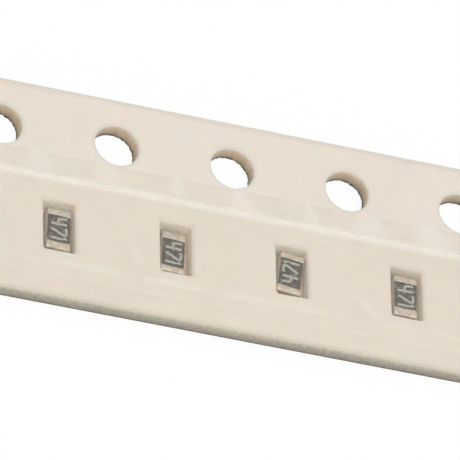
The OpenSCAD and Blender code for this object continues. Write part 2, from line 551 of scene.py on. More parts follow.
@dataclass(frozen=True, kw_only=True)
class PunchedCard(Finish):
    """Uncoated cream card: slit at its edges, punched at its holes, and darker under the film and where it is
    sealed to it, as a painted shadow of the film. Its walls and rims carry painted light and painted shade.
    """

    slot: Slot = Slot.CARD
    layout: Layout
    face: Colour = (0.80, 0.73, 0.645)
    # Under the film and in its sealed bands: darkened as a painted shadow of the film, which casts none itself
    covered: Colour = (0.750, 0.676, 0.572)
    bonded: Colour = (0.755, 0.684, 0.584)
    # The hole walls: the card's tan cut core, lightened as painted light, and darkened as painted shade towards
    # the foot
    punched: Colour = (0.815, 0.672, 0.490)
    hole_foot_shade: Colour = (0.570, 0.465, 0.335)
    # The pocket walls: lighter than the card's face, as painted light in the pockets
    inner: Colour = (0.985, 0.882, 0.738)
    # Painted light at the top of every hole and pocket wall
    rim: Colour = (0.900, 0.830, 0.740)
    # The slit edges: their own greyer cut fibre, darkened further as painted shade, and darker still towards
    # the foot
    slit: Colour = (0.605, 0.560, 0.458)
    slit_foot_shade: Colour = (0.400, 0.370, 0.325)
    # A painted contact shadow along the foot of the hole walls and the slit edges; the hole burrs take it too
    burr: Colour = (0.100, 0.088, 0.072)
    # Heights of the painted shade and light on the walls, with how far the painted contact shadows at the foot
    # fade and how dark the slit edge's one is
    foot_shadow_top: float = 0.075
    foot_shadow_fade: float = 0.01
    slit_shadow_height: float = 0.145
    slit_shadow_fade: float = 0.02
    slit_shadow_share: float = 0.85
    wall_foot: float = 0.05
    wall_middle: float = 0.25
    wall_top: float = 0.60
    slit_low: float = 0.06
    slit_high: float = 0.40
    # How far in from the card's outline the painted shade on the top along the slit edges starts, and where the
    # slit edges' own tones start and are full
    slit_shade_in: float = 0.30
    slit_in: float = 0.17
    slit_full: float = 0.10
    end_in: float = 0.12
    end_full: float = 0.05
    # The painted shade round a hole or pocket, for the slope of its rolled rim: how wide it is, and how dark it
    # makes the tone; the same shade lies along the slit edges
    rim_shade_w: float = 0.16
    pressed: float = 0.88

    def lay_out(self, sheet: NodeSheet, shader: bpy.types.Node) -> None:
        """Feeds the shader of the card."""
        place = sheet.millimetres()
        up = sheet.parts(sheet.add("TexCoord").outputs["Normal"])[2]
        level = sheet.span(sheet.sum("ABSOLUTE", up), 0.3, 0.97)
        grain = sheet.group(NodeGroups.fibre_grain(), Vector=place, Density=5.0, Length=3.5)
        fibres = grain.outputs["Fibres"]
        colour = sheet.mix(level, self.wall_tone(sheet, place), self.top_tone(sheet, place))
        mottle = sheet.span(sheet.noise(place, 0.9), 0.25, 0.75, 0.985, 1.012)
        fleck = sheet.span(fibres, 0.0, 1.0, 0.992, 1.006)
        dress(
            sheet, shader, Base_Color=sheet.shade(colour, sheet.sum("MULTIPLY", mottle, fleck)),
            Roughness=sheet.span(fibres, 0.0, 1.0, 0.92, 0.8), Specular_IOR_Level=0.25,
            Subsurface_Weight=0.8, Subsurface_Radius=(1.0, 0.66, 0.42), Subsurface_Scale=0.35 * MM,
        )
        bump(sheet, shader, grain.outputs["Height"], 0.006)

    def top_tone(self, sheet: NodeSheet, place: Socket) -> Socket:
        """The tone of the upper face: bare, under film, bonded to it, with the film's painted shadow under it
        and painted shade at the rims and slit edges.

        Args:
            sheet: The material's nodes.
            place: The place on the card, in millimetres.

        Returns:
            The tone.
        """
        x, y, _ = sheet.parts(place)
        high = self.layout.film_high
        tone = self.face
        # The film's painted shadow on the card under it and in its sealed bands
        for start, fade, laid in (
            (self.layout.film_low, 0.015, self.covered), (high - self.layout.seal_w, 0.03, self.bonded),
        ):
            band = sheet.group(NodeGroups.band(), Place=y, Low=start, High=high, Fade=fade)
            tone = sheet.mix(band.outputs[0], tone, laid)
        # Painted shade round every hole and pocket, for the slope of the rolled rims
        tone = sheet.mix(self.near_rim(sheet, x, y), tone, sheet.shade(tone, self.pressed))
        # Painted shade on the top along both slit edges, for their rounding
        edge = self.layout.half_width
        slit_shade = sheet.span(sheet.sum("ABSOLUTE", y), edge - self.slit_shade_in, edge, 1.0, self.pressed)
        return sheet.shade(tone, slit_shade)

    def wall_tone(self, sheet: NodeSheet, place: Socket) -> Socket:
        """The tone of the upright faces: hole and pocket walls, and the slit edges, with painted shade towards
        the foot, painted light at the tops and in the pockets, and a painted contact shadow along the foot.

        Args:
            sheet: The material's nodes.
            place: The place on the card, in millimetres.

        Returns:
            The tone.
        """
        x, y, z = sheet.parts(place)
        side, end = self.layout.half_width, self.layout.half_length
        across = sheet.span(sheet.sum("ABSOLUTE", y), side - self.slit_in, side - self.slit_full)
        along = sheet.span(sheet.sum("ABSOLUTE", x), end - self.end_in, end - self.end_full)
        beyond = sheet.span(y, self.layout.film_high, self.layout.film_high + 0.01)
        # Hole walls: painted shade, darker towards the foot
        hole = sheet.mix(sheet.span(z, self.wall_foot, self.wall_middle), self.hole_foot_shade, self.punched)
        # Pocket walls take their painted light
        wall = sheet.mix(beyond, self.inner, hole)
        # Painted light towards the top of the walls
        wall = sheet.mix(sheet.span(z, self.wall_middle, self.wall_top), wall, self.rim)
        # Slit edges: painted shade, darker towards the foot
        slit = sheet.mix(sheet.span(z, self.slit_low, self.slit_high), self.slit_foot_shade, self.slit)
        slit = sheet.shade(slit, sheet.span(sheet.noise(place, 6.0), 0.3, 0.7, 0.89, 1.10))
        wall = sheet.mix(sheet.sum("MAXIMUM", across, along), wall, slit)
        # A painted contact shadow along the foot of the holes and, a little less dark, of the slit edges
        foot = sheet.span(z, self.foot_shadow_top - self.foot_shadow_fade, self.foot_shadow_top + self.foot_shadow_fade, 1.0, 0.0)
        start, stop = self.slit_shadow_height - self.slit_shadow_fade, self.slit_shadow_height + self.slit_shadow_fade
        line = sheet.span(z, start, stop, self.slit_shadow_share, 0.0)
        dark = sheet.sum("MAXIMUM", sheet.sum("MULTIPLY", beyond, foot), sheet.sum("MULTIPLY", across, line))
        return sheet.mix(dark, wall, self.burr)

    def near_rim(self, sheet: NodeSheet, x: Socket, y: Socket) -> Socket:
        """1 at the rim of a hole or pocket, falling to 0 across the width of the painted shade round it.

        Args:
            sheet: The material's nodes.
            x: The place along the tape, in millimetres.
            y: The place across it.

        Returns:
            The mask.
        """
        first, second = self.layout.holes[:2]
        half_pitch = (second.x - first.x) / 2
        from_hole = sheet.sum("PINGPONG", x, half_pitch)
        across_hole = sheet.sum("SUBTRACT", y, first.y)
        squares = (sheet.sum("MULTIPLY", away, away) for away in (from_hole, across_hole))
        hole = sheet.sum("SUBTRACT", sheet.sum("SQRT", sheet.sum("ADD", *squares)), self.layout.hole_r)
        from_pocket = sheet.sum("SUBTRACT", half_pitch - self.layout.pocket_w / 2, from_hole)
        across_pocket = sheet.sum("ABSOLUTE", sheet.sum("SUBTRACT", y, self.layout.pocket_y))
        across_pocket = sheet.sum("SUBTRACT", across_pocket, self.layout.pocket_l / 2)
        pocket = sheet.sum("MAXIMUM", from_pocket, across_pocket)
        return sheet.span(sheet.sum("MINIMUM", hole, pocket), 0.0, self.rim_shade_w, 1.0, 0.0)


@dataclass(frozen=True)
class ClearFilm(Finish):
    """Clear heat-sealed film: it shows by its gloss with a painted reflection of the white surroundings, and by
    haze where it is lifted off the card, partly painted sheen there.
    """

    slot: Slot = Slot.COVER
    tone: Colour = (0.95, 0.92, 0.86)
    cloudy: Colour = (0.97, 0.94, 0.90)
    haze: float = 0.05
    lifted_haze_and_sheen: float = 0.32
    smudges: float = 0.008
    least: float = 0.002

    def lay_out(self, sheet: NodeSheet, shader: bpy.types.Node) -> None:
        """Feeds the shader of the film."""
        place = sheet.millimetres()
        lift = sheet.add("Attribute", attribute_name="lift").outputs["Fac"]
        patchy = sheet.span(sheet.noise(place, 1.3, 2.0), 0.3, 0.7, 0.8, 1.12)
        # Haze where the film is lifted, also standing in as painted sheen on the lifted film
        haze_and_sheen = sheet.sum("MULTIPLY", sheet.sum("MULTIPLY", lift, self.lifted_haze_and_sheen), patchy)
        smudge = sheet.span(sheet.noise(place, 0.45), 0.5, 0.8, 0.0, self.smudges)
        # The Fresnel share of the opacity shows the pale base colour: a painted reflection of the white
        # surroundings, on top of the shader's own gloss
        glint = sheet.add("Fresnel", {"IOR": 1.4}).outputs[0]
        path = sheet.add("LightPath")
        passing = sheet.sum("MAXIMUM", path.outputs["Is Shadow Ray"], path.outputs["Is Diffuse Ray"])
        hidden = sheet.sum("MAXIMUM", sheet.add("NewGeometry").outputs["Backfacing"], passing)
        alpha = sheet.sum("ADD", sheet.sum("ADD", glint, sheet.sum("ADD", haze_and_sheen, smudge)), self.haze)
        alpha = sheet.sum("MULTIPLY", alpha, sheet.sum("SUBTRACT", 1.0, hidden))
        dress(
            sheet, shader, Alpha=sheet.add("Clamp", {0: alpha, 1: self.least}).outputs[0],
            Base_Color=sheet.mix(patchy, self.tone, self.cloudy), Metallic=0.2,
            Roughness=sheet.span(patchy, 0.4, 1.2, 0.22, 0.34),
        )
        bump(sheet, shader, sheet.noise(place, 0.9, 2.0), 0.006)


@dataclass(frozen=True)
class TissueFilm(Finish):
    """Thin tissue that closes the pockets from below."""

    slot: Slot = Slot.BASE
    tone: Colour = (0.68, 0.56, 0.44)

    def lay_out(self, sheet: NodeSheet, shader: bpy.types.Node) -> None:
        """Feeds the shader of the tissue."""
        place = sheet.millimetres()
        grain = sheet.group(NodeGroups.fibre_grain(), Vector=place, Density=4.5, Length=8.0)
        fibres = grain.outputs["Fibres"]
        tone = sheet.shade(self.tone, sheet.span(fibres, 0.0, 1.0, 0.94, 1.05))
        dress(sheet, shader, Base_Color=tone, Roughness=sheet.span(fibres, 0.0, 1.0, 0.8, 0.62))
        bump(sheet, shader, grain.outputs["Height"], 0.004)


@dataclass(frozen=True)
class Speckled(Finish):
    """A fired surface of two tones, the second one in specks."""

    tone: Colour
    specks: Colour
    density: float
    share: float
    rough: tuple[float, float]
    grain: tuple[float, float]
    grain_depth: float
    cloud: tuple[float, float] = (1.0, 1.0)
    gloss: float = 0.5

    def lay_out(self, sheet: NodeSheet, shader: bpy.types.Node) -> None:
        """Feeds the shader of the surface."""
        place = sheet.millimetres()
        group = sheet.group(NodeGroups.speckle(), Vector=place, Density=self.density, Share=self.share)
        mask = group.outputs[0]
        cloud = sheet.span(sheet.noise(place, 5.0), 0.3, 0.7, *self.cloud)
        dress(
            sheet, shader, Base_Color=sheet.shade(sheet.mix(mask, self.tone, self.specks), cloud),
            Roughness=sheet.span(mask, 0.0, 1.0, *self.rough), Specular_IOR_Level=self.gloss,
        )
        bump(sheet, shader, sheet.noise(place, *self.grain), self.grain_depth)


@dataclass(frozen=True)
class Alumina(Speckled):
    """White sintered ceramic, faintly granular, its tones darkened and warmed as painted shade and painted
    bounce light from the pocket walls.
    """

    slot: Slot = Slot.ALUMINA
    # Darker and warmer than white alumina: painted shade and warm bounce from the pocket walls
    tone: Colour = (0.64, 0.54, 0.43)
    specks: Colour = (0.56, 0.47, 0.37)
    density: float = 22.0
    share: float = 0.35
    rough: tuple[float, float] = (0.5, 0.68)
    grain: tuple[float, float] = (30.0, 3.0)
    grain_depth: float = 0.002


@dataclass(frozen=True)
class ResistorInk(Speckled):
    """Fired resistive ink."""

    slot: Slot = Slot.RESISTOR
    tone: Colour = (0.030, 0.030, 0.032)
    specks: Colour = (0.06, 0.06, 0.06)
    density: float = 35.0
    share: float = 0.4
    rough: tuple[float, float] = (0.45, 0.6)
    grain: tuple[float, float] = (40.0, 2.0)
    grain_depth: float = 0.0015


@dataclass(frozen=True)
class Glaze(Speckled):
    """Dark printed overcoat, satin, with pale grains in it."""

    slot: Slot = Slot.GLAZE
    tone: Colour = (0.040, 0.031, 0.018)
    specks: Colour = (0.150, 0.130, 0.100)
    density: float = 11.0
    share: float = 0.45
    rough: tuple[float, float] = (0.45, 0.6)
    grain: tuple[float, float] = (14.0, 4.0)
    grain_depth: float = 0.004
    cloud: tuple[float, float] = (0.8, 1.25)
    gloss: float = 0.3


@dataclass(frozen=True)
class MarkingInk(Speckled):
    """Pale fired ink, thin in places."""

    slot: Slot = Slot.MARKING
    tone: Colour = (0.37, 0.355, 0.285)
    specks: Colour = (0.20, 0.19, 0.15)
    density: float = 14.0
    share: float = 0.42
    rough: tuple[float, float] = (0.55, 0.4)
    grain: tuple[float, float] = (20.0, 3.0)
    grain_depth: float = 0.002


@dataclass(frozen=True)
class MatteTin(Finish):
    """Matt electroplated tin with a soft grain."""

    slot: Slot = Slot.TIN
    tone: Colour = (0.50, 0.425, 0.335)
    dull: Colour = (0.36, 0.30, 0.23)

    def lay_out(self, sheet: NodeSheet, shader: bpy.types.Node) -> None:
        """Feeds the shader of the tin."""
        place = sheet.millimetres()
        cloud = sheet.span(sheet.noise(place, 6.0, 4.0, 0.6), 0.35, 0.7)
        grain = sheet.group(NodeGroups.speckle(), Vector=place, Density=30.0, Share=0.5).outputs[0]
        rough = sheet.sum("ADD", sheet.span(cloud, 0.0, 1.0, 0.42, 0.54), sheet.sum("MULTIPLY", grain, 0.05))
        tone = sheet.mix(cloud, self.tone, self.dull)
        dress(sheet, shader, Base_Color=tone, Roughness=rough, Metallic=0.72)
        bump(sheet, shader, sheet.noise(place, 9.0, 4.0), 0.008)


def hand_over(
    piece: Piece, finish: Finish, replaces: tuple[str, ...] = (), smooth: float = 32.0, level: bool = False
) -> None:
    """Brings a piece to metres, dresses it and gives it to the frame.

    Args:
        piece: The finished mesh, in millimetres.
        finish: Its finish.
        replaces: The CAD nodes that it stands for.
        smooth: The angle in degrees up to which edges look smooth.
        level: Whether large flat faces keep their own flat shading.
    """
    piece.scale = (MM,) * 3
    apply_place(piece)
    bpy.ops.object.shade_smooth_by_angle(angle=math.radians(smooth))
    if level:
        modify(piece, "WEIGHTED_NORMAL", mode="FACE_AREA", weight=50, keep_sharp=True)
    piece.data.materials.clear()
    piece.data.materials.append(finish.material())
    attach(piece, BODY)
    if replaces:
        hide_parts(*replaces)
    LOG.info("%s: %d faces", piece.name, len(piece.data.polygons))


# ---------------------------------------------------------------- the strip


@dataclass
class CarrierTape:
    """The slit and punched card, with the fibres and burrs that stand out at its rims."""

    layout: Layout
    pocket_r: float = 0.08
    punch_over: float = 0.2
    hole_sides: int = 96
    # How far the slit edges, the rims and their feet are rounded, and how flat the rims' roll is
    edge_round: float = 0.18
    back_round: float = 0.05
    slit_foot_round: float = 0.075
    rim_round: float = 0.07
    pocket_round: float = 0.11
    foot_round: float = 0.012
    roll_profile: float = 0.6
    # How near a corner counts as on a rim, and as in a pocket
    rim_reach: float = 0.004
    pocket_reach: float = 0.02
    # The slope at both sides of a pressed seal
    shoulder: float = 0.04
    # How the walls stray from a clean cut: how far, in which reach of height, and which rims stay clean
    rag: float = 0.008
    near_give: float = 0.03
    far_toe: float = 0.070
    give_depth: float = 0.2
    toe_height: float = 0.05
    rag_margin: float = 0.5
    skin: float = 0.004
    # The burr at a hole's foot: its corners, how far it hangs and frays, its thickness, and how it is held
    burr_points: int = 64
    burr_depth: float = 0.019
    burr_rag: float = 0.026
    burr_t: float = 0.008
    burr_hold: float = 0.4
    burr_narrow: float = 0.992
    burr_turn: float = 2.1
    # Fibres at each pocket and hole and along the edges, their longest lengths, and how deep they are rooted
    fibre_r: float = 0.0045
    pocket_fibres: int = 26
    hole_fibres: int = 12
    edge_fibres: int = 130
    pocket_fibre_l: float = 0.10
    hole_fibre_l: float = 0.11
    edge_fibre_l: float = 0.07
    fibre_root: float = 0.02

    def build(self) -> None:
        """Makes and dresses the card, its fibres and its burrs."""
        finish = PunchedCard(layout=self.layout)
        hand_over(self.card(), finish, ("carrier_tape",), smooth=38, level=True)
        hand_over(self.fibres(), finish)
        # The burrs take the card's painted contact shadow at the foot, so they show dark
        hand_over(self.burrs(), finish)

    def card(self) -> Piece:
        """The card: slit, pressed at the seals, punched, with rolled rims and ragged walls."""
        low, high = cad_box("carrier_tape")
        card = block("card", low, high)
        with editing(card):
            self.round_slits(card, low, high)
            self.press_seals(card)
            self.score_pockets(card)
        punches = self.punches(low.z, high.z)
        modify(card, "BOOLEAN", object=punches, operation="DIFFERENCE", solver="EXACT")
        bpy.data.objects.remove(punches)
        with editing(card):
            bpy.ops.mesh.remove_doubles(threshold=0.0001)
            bpy.ops.mesh.normals_make_consistent(inside=False)
            self.roll_rims(card, low.z, high.z)
            self.roughen_walls(card, low, high)
        return card

    def round_slits(self, card: Piece, low: Vector, high: Vector) -> None:
        """Rounds the card's long edges.

        Args:
            card: The card, in edit mode.
            low: Its lowest corner.
            high: Its highest corner.
        """
        edges = (
            (lambda p: p.z > high.z - NEAR and p.y < low.y + NEAR, self.edge_round, 5),
            (lambda p: p.z > high.z - NEAR and p.y > high.y - NEAR, self.back_round, 4),
            (lambda p: p.z < low.z + NEAR, self.slit_foot_round, 2),
        )
        for there, radius, steps in edges:
            pick(card, Element.EDGES, lambda e: all(there(v.co) for v in e.verts) and span_of(e).y < NEAR)
            ease(radius, steps)

    def press_seals(self, card: Piece) -> None:
        """Presses the cover film's sealed margins into the card.

        Args:
            card: The card, in edit mode.
        """
        inside = self.shoulder * 0.9
        for start in (self.layout.film_low, self.layout.film_high - self.layout.seal_w):
            stop = start + self.layout.seal_w
            score(card, [start, start + self.shoulder, stop - self.shoulder, stop], ACROSS)
            pick(card, Element.FACES, lambda f: f.normal.z > 0.9
                 and start + inside < f.calc_center_median().y < stop - inside)
            shift(0, 0, -self.layout.seal_depth)

    def score_pockets(self, card: Piece) -> None:
        """Cuts edges across the card at the pockets, so that their walls can be made ragged."""
        for pocket in self.layout.pockets():
            score(card, [pocket.x + self.layout.pocket_w * k / 10 for k in range(-4, 5)], ALONG)
        score(card, [self.layout.pocket_y + self.layout.pocket_l * k / 14 for k in range(-5, 6)], ACROSS)

    def punches(self, low: float, high: float) -> Piece:
        """Every punch, joined into one cutter.

        Args:
            low: The height of the card's lower face.
            high: The height of its upper face.

        Returns:
            The cutter.
        """
        foot, head = low - self.punch_over, high + self.punch_over
        punches = [
            drum(f"punch_{i}", self.layout.hole_r, Vector((hole.x, hole.y, foot)), head, self.hole_sides)
            for i, hole in enumerate(self.layout.holes)
        ]
        half = Vector((self.layout.pocket_w, self.layout.pocket_l)) / 2
        for i, pocket in enumerate(self.layout.pockets()):
            first, second = pocket.xy - half, pocket.xy + half
            punch = block(f"pocket_punch_{i}", Vector((*first, foot)), Vector((*second, head)))
            with editing(punch):
                pick(punch, Element.EDGES, lambda e: span_of(e).z > 0.1)
                ease(self.pocket_r, 6)
            punches.append(punch)
        return join(punches, "punches")

    def roll_rims(self, card: Piece, low: float, high: float) -> None:
        """Rounds the rims of the holes and pockets, above and below.

        Args:
            card: The card, in edit mode.
            low: The height of its lower face.
            high: The height of its upper face.
        """
        for at_wall, roll in ((self.at_hole, self.rim_round), (self.at_pocket, self.pocket_round)):
            for height, radius, steps in ((high, roll, 5), (low, self.foot_round, 2)):
                pick(card, Element.EDGES, lambda e: self.on_rim(e, at_wall, height))
                ease(radius, steps, profile=self.roll_profile, clamp_overlap=False)

    def roughen_walls(self, card: Piece, low: Vector, high: Vector) -> None:
        """Lets the pockets' near walls give, their far walls toe out at the foot, and all walls wander.

        Args:
            card: The card, in edit mode.
            low: Its lowest corner.
            high: Its highest corner.
        """
        top = high.z - self.skin
        near = self.layout.pocket_y - self.layout.pocket_l / 2
        far = self.layout.pocket_y + self.layout.pocket_l / 2
        pick(card, Element.CORNERS, lambda v: high.z - self.give_depth < v.co.z < top
             and near - self.pocket_round < v.co.y < near + self.rim_reach)
        shift(0, -self.near_give, 0)
        pick(card, Element.CORNERS, lambda v: v.co.z < low.z + self.toe_height and self.in_pocket(v.co)
             and v.co.y > far - self.pocket_r - NEAR)
        shift(0, -self.far_toe, 0)
        pick(card, Element.CORNERS, lambda v: low.z + self.skin / 2 < v.co.z < top
             and abs(v.co.y) < high.y - self.rag_margin and abs(v.co.x) < high.x - self.rag_margin)
        bpy.ops.transform.vertex_random(offset=self.rag, uniform=0.2, seed=11)

    @staticmethod
    def on_rim(edge: bmesh.types.BMEdge, at_wall: Callable[[Vector], bool], height: float) -> bool:
        """Whether an edge lies on the rim of a hole or pocket.

        Args:
            edge: An edge of the card.
            at_wall: Says whether a corner stands on the wall in question.
            height: The height of the face that the rim is in.

        Returns:
            True on a rim.
        """
        if any(abs(v.co.z - height) > 2 * NEAR or not at_wall(v.co) for v in edge.verts):
            return False
        return at_wall((edge.verts[0].co + edge.verts[1].co) / 2)

    def at_hole(self, place: Vector) -> bool:
        """Whether a corner stands on a sprocket hole's wall."""
        reaches = ((place.xy - hole.xy).length - self.layout.hole_r for hole in self.layout.holes)
        return any(abs(reach) < self.rim_reach for reach in reaches)

    def in_pocket(self, place: Vector) -> bool:
        """Whether a corner stands within a pocket's outline or close round it."""
        half_w = self.layout.pocket_w / 2 + self.pocket_reach
        half_l = self.layout.pocket_l / 2 + self.pocket_reach
        offsets = (place - pocket for pocket in self.layout.pockets())
        return any(abs(off.x) < half_w and abs(off.y) < half_l for off in offsets)

    def at_pocket(self, place: Vector) -> bool:
        """Whether a corner stands on a pocket's wall.

        Args:
            place: The corner's place, in millimetres.

        Returns:
            True on a wall, its rounded corners included.
        """
        for pocket in self.layout.pockets():
            x = abs(place.x - pocket.x) - self.layout.pocket_w / 2
            y = abs(place.y - pocket.y) - self.layout.pocket_l / 2
            if max(x, y) > self.rim_reach:
                continue
            corner = Vector((x + self.pocket_r, y + self.pocket_r))
            if corner.x > 0 and corner.y > 0:
                return abs(corner.length - self.pocket_r) < self.rim_reach
            return max(x, y) > -self.rim_reach
        return False

    def burrs(self) -> Piece:
        """The ragged burr that the punch leaves hanging at each sprocket hole's foot."""
        low = cad_box("carrier_tape")[0]
        ring_h = 0.1
        deselect_all()
        bpy.ops.mesh.primitive_cylinder_add(
            vertices=self.burr_points, radius=self.layout.hole_r, depth=ring_h, end_fill_type="NOTHING"
        )
        master = bpy.context.active_object
        with editing(master):
            pick(master, Element.CORNERS, lambda v: v.co.z > 0)
            shift(0, 0, self.burr_depth * self.burr_hold - ring_h / 2)
            pick(master, Element.CORNERS, lambda v: v.co.z < 0)
            shift(0, 0, ring_h / 2 - self.burr_depth)
            bpy.ops.transform.resize(value=(self.burr_narrow, self.burr_narrow, 1))
            bpy.ops.transform.vertex_random(offset=self.burr_rag, uniform=0.1, seed=3)
        modify(master, "SOLIDIFY", thickness=self.burr_t, offset=-1.0)
        burrs = [
            twin(master, f"burr_{i}", Vector((hole.x, hole.y, low.z)), i * self.burr_turn)
            for i, hole in enumerate(self.layout.holes)
        ]
        bpy.data.objects.remove(master)
        return join(burrs, "hole_burrs")

    def fibres(self) -> Piece:
        """Loose card fibres at the punched rims and along the slit edges."""
        low, high = cad_box("carrier_tape")
        dice = random.Random(471)
        hairs: list[list[Vector]] = []
        for hole in self.layout.holes:
            for _ in range(self.hole_fibres):
                turn = dice.uniform(0, math.tau)
                out = Vector((math.cos(turn), math.sin(turn), 0))
                root = Vector((hole.x, hole.y, 0)) + out * self.layout.hole_r
                root.z = dice.choice((low.z + 0.01, dice.uniform(low.z, high.z - 0.08)))
                hairs.append(self.hair(dice, root, -out, self.hole_fibre_l))
        for pocket in self.layout.pockets():
            for _ in range(self.pocket_fibres):
                root, inwards = self.pocket_root(dice, pocket)
                root.z = dice.uniform(high.z - 0.16, high.z - 0.05)
                hairs.append(self.hair(dice, root, inwards, self.pocket_fibre_l))
        for _ in range(self.edge_fibres):
            side = dice.choice((-1, 1))
            x = dice.uniform(low.x, high.x)
            root = Vector((x, side * high.y, dice.uniform(low.z + 0.02, high.z - 0.1)))
            hairs.append(self.hair(dice, root, side * ACROSS, self.edge_fibre_l))
        return drawn_line(hairs, "card_fibres", self.fibre_r, 0)

    def pocket_root(self, dice: random.Random, pocket: Vector) -> tuple[Vector, Vector]:
        """A place on a pocket's wall and the way into the pocket from there.

        Args:
            dice: The source of chance.
            pocket: The pocket's middle.

        Returns:
            The place, and the direction.
        """
        side = dice.choice((-1, 1))
        if dice.random() < 0.5:
            along = dice.uniform(-0.45, 0.45) * self.layout.pocket_w
            return pocket + Vector((along, side * self.layout.pocket_l / 2, 0)), -side * ACROSS
        along = dice.uniform(-0.45, 0.45) * self.layout.pocket_l
        return pocket + Vector((side * self.layout.pocket_w / 2, along, 0)), -side * ALONG

    def hair(self, dice: random.Random, root: Vector, out: Vector, length: float) -> list[Vector]:
        """One fibre, rooted in the card and curling as it comes out.

        Args:
            dice: The source of chance.
            root: Where it leaves the card.
            out: The way out of the card.
            length: Its longest length, in millimetres.

        Returns:
            Its points, none of them under the tape.
        """
        aim = (out + Vector((dice.uniform(-1, 1), dice.uniform(-1, 1), dice.uniform(-0.3, 0.3)))).normalized()
        step = dice.uniform(0.25, 0.5) * length
        points = [root - out * self.fibre_root, root]
        for _ in range(2):
            tip = points[-1] + aim * step
            tip.z = max(tip.z, 2 * self.fibre_r)
            points.append(tip)
            bend = Vector((dice.uniform(-1, 1), dice.uniform(-1, 1), dice.uniform(-0.4, 0.2)))
            aim = (aim + bend * 0.7).normalized()
        return points


